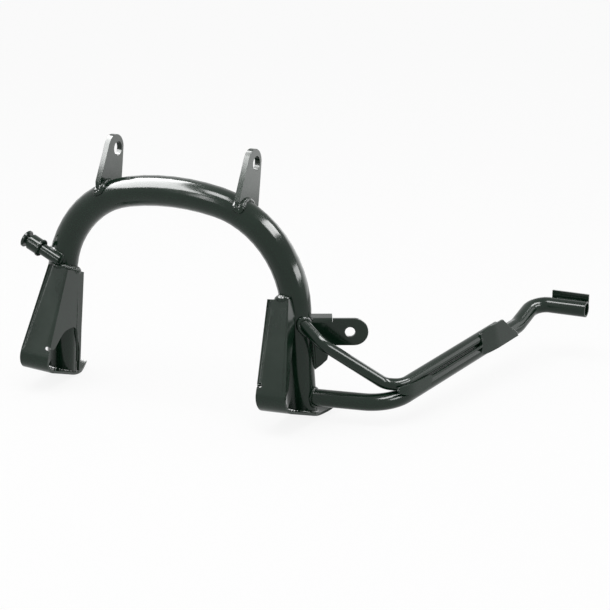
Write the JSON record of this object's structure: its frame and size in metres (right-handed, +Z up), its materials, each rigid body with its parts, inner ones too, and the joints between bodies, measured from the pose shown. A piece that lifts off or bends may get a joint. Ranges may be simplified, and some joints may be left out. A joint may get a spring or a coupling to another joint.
{
  "type": "motorcycle centre stand",
  "caption": "Welded tube arch with pivot lugs, pressed sheet legs with rolled soles, a side foot lever with brace and tread, a spring peg and a stop bracket.",
  "frame": {"origin": "middle of the pivot axis, halfway between the holes of the two lugs", "axes": "+X along the pivot axis towards the foot lever, +Y to the rear of the motorcycle, +Z up"},
  "size_m": [0.5353, 0.3764, 0.273],
  "materials": {
    "gloss_black_paint": "gloss"
  },
  "bodies": {
    "root": {"arch_tube": "gloss_black_paint", "left_pivot_lug": "gloss_black_paint", "right_pivot_lug": "gloss_black_paint", "left_leg_sheet": "gloss_black_paint", "right_leg_sheet": "gloss_black_paint", "spring_peg": "gloss_black_paint", "stop_bracket": "gloss_black_paint", "lever_tube": "gloss_black_paint", "brace_rod": "gloss_black_paint", "lever_web_plate": "gloss_black_paint", "tread_plate": "gloss_black_paint"}
  },
  "joints": []
}
